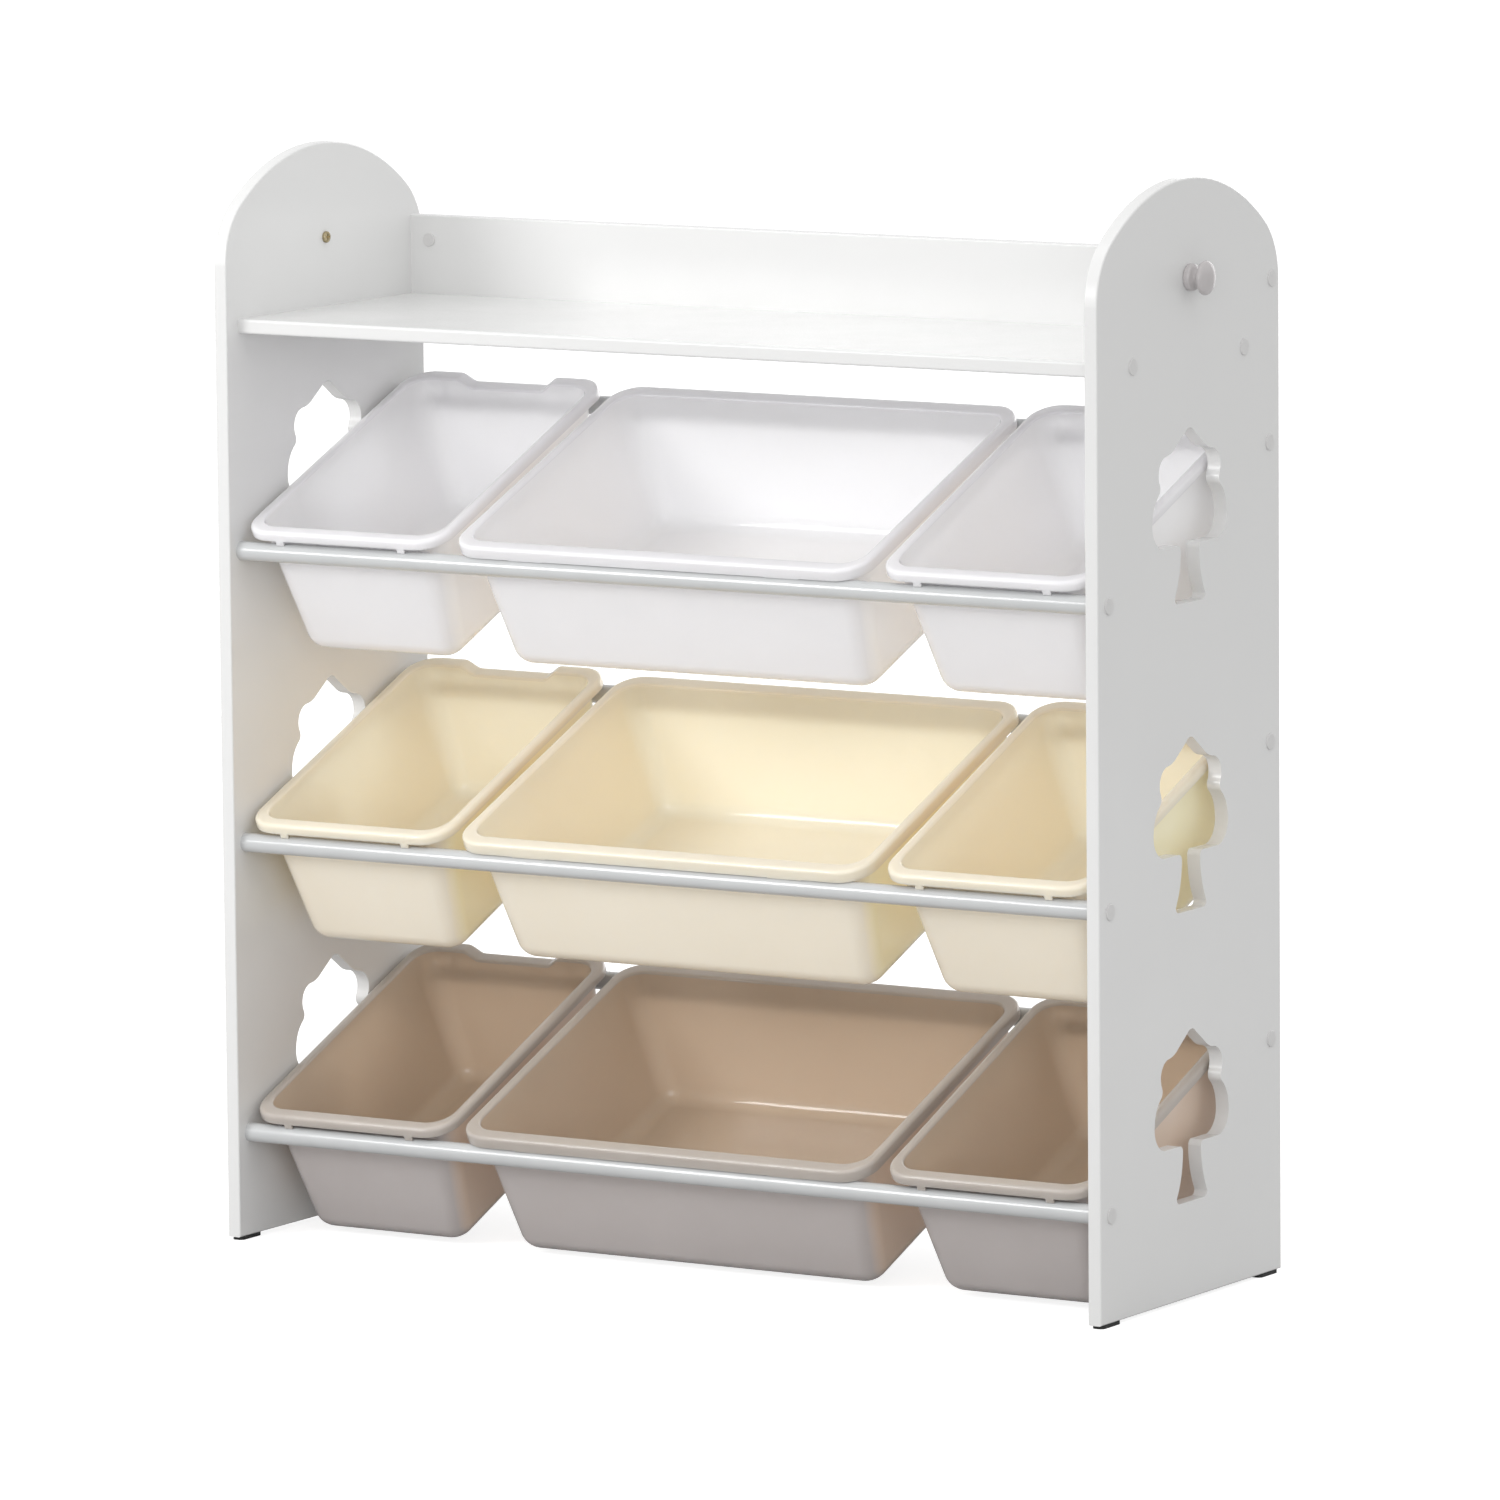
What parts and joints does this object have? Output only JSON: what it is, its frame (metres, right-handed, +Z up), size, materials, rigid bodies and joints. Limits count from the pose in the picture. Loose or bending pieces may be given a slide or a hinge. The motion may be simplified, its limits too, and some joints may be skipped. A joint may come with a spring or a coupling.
{
  "type": "toy storage rack",
  "caption": "Child's toy storage rack: arched white side panels with tree cut-outs, a top shelf, and sloping tubes that carry lift-out plastic bins.",
  "frame": {"origin": "on the floor, under the middle of the rack", "axes": "+X to the right of someone facing the rack, +Y from front to back, +Z up"},
  "size_m": [0.882, 0.3022, 0.913],
  "materials": {
    "painted_board": "satin white paint on smooth board",
    "coated_tube": "white powder coat, half gloss",
    "bin_white": "moulded plastic, half gloss, faintly translucent",
    "bin_cream": "moulded plastic, half gloss, faintly translucent",
    "bin_taupe": "moulded plastic, half gloss",
    "knob_grey": "smooth grey, half gloss",
    "brass_screw": "plated",
    "cap_white": "moulded",
    "foot_black": "matt black",
    "dowel_wood": "bare beech",
    "plated_steel": "zinc plated"
  },
  "bodies": {
    "rack": {"back_rail": "painted_board", "back_rod_bottom": "coated_tube", "back_rod_middle": "coated_tube", "back_rod_top": "coated_tube", "foot_nails": "plated_steel", "front_rod_bottom": "coated_tube", "front_rod_middle": "coated_tube", "front_rod_top": "coated_tube", "left_back_foot": "foot_black", "left_front_foot": "foot_black", "left_knob": "knob_grey", "left_knob_screw": "brass_screw", "left_rail_bolt": "plated_steel", "left_rail_dowel": "dowel_wood", "left_rod_bolts": "plated_steel", "left_rod_plugs": "plated_steel", "left_screw_caps": "cap_white", "left_shelf_bolts": "plated_steel", "left_side_panel": "painted_board", "rail_barrel_nuts": "plated_steel", "rail_nut_caps": "cap_white", "right_back_foot": "foot_black", "right_front_foot": "foot_black", "right_knob": "knob_grey", "right_knob_screw": "brass_screw", "right_rail_bolt": "plated_steel", "right_rail_dowel": "dowel_wood", "right_rod_bolts": "plated_steel", "right_rod_plugs": "plated_steel", "right_screw_caps": "cap_white", "right_shelf_bolts": "plated_steel", "right_side_panel": "painted_board", "shelf_barrel_nuts": "plated_steel", "top_shelf": "painted_board"},
    "bin_bottom_left": {"bin_bottom_left": "bin_taupe"},
    "bin_bottom_centre": {"bin_bottom_centre": "bin_taupe"},
    "bin_bottom_right": {"bin_bottom_right": "bin_taupe"},
    "bin_middle_left": {"bin_middle_left": "bin_cream"},
    "bin_middle_centre": {"bin_middle_centre": "bin_cream"},
    "bin_middle_right": {"bin_middle_right": "bin_cream"},
    "bin_top_left": {"bin_top_left": "bin_white"},
    "bin_top_centre": {"bin_top_centre": "bin_white"},
    "bin_top_right": {"bin_top_right": "bin_white"}
  },
  "joints": [
    {"name": "bin_bottom_left_lift", "type": "slide", "parent": "rack", "child": "bin_bottom_left", "axis": [0, -0.3726, 0.928], "range_m": [0, 0.09]},
    {"name": "bin_bottom_centre_lift", "type": "slide", "parent": "rack", "child": "bin_bottom_centre", "axis": [0, -0.3726, 0.928], "range_m": [0, 0.09]},
    {"name": "bin_bottom_right_lift", "type": "slide", "parent": "rack", "child": "bin_bottom_right", "axis": [0, -0.3726, 0.928], "range_m": [0, 0.09]},
    {"name": "bin_middle_left_lift", "type": "slide", "parent": "rack", "child": "bin_middle_left", "axis": [0, -0.3726, 0.928], "range_m": [0, 0.09]},
    {"name": "bin_middle_centre_lift", "type": "slide", "parent": "rack", "child": "bin_middle_centre", "axis": [0, -0.3726, 0.928], "range_m": [0, 0.09]},
    {"name": "bin_middle_right_lift", "type": "slide", "parent": "rack", "child": "bin_middle_right", "axis": [0, -0.3726, 0.928], "range_m": [0, 0.09]},
    {"name": "bin_top_left_lift", "type": "slide", "parent": "rack", "child": "bin_top_left", "axis": [0, -0.3726, 0.928], "range_m": [0, 0.05]},
    {"name": "bin_top_centre_lift", "type": "slide", "parent": "rack", "child": "bin_top_centre", "axis": [0, -0.3726, 0.928], "range_m": [0, 0.05]},
    {"name": "bin_top_right_lift", "type": "slide", "parent": "rack", "child": "bin_top_right", "axis": [0, -0.3726, 0.928], "range_m": [0, 0.05]}
  ]
}
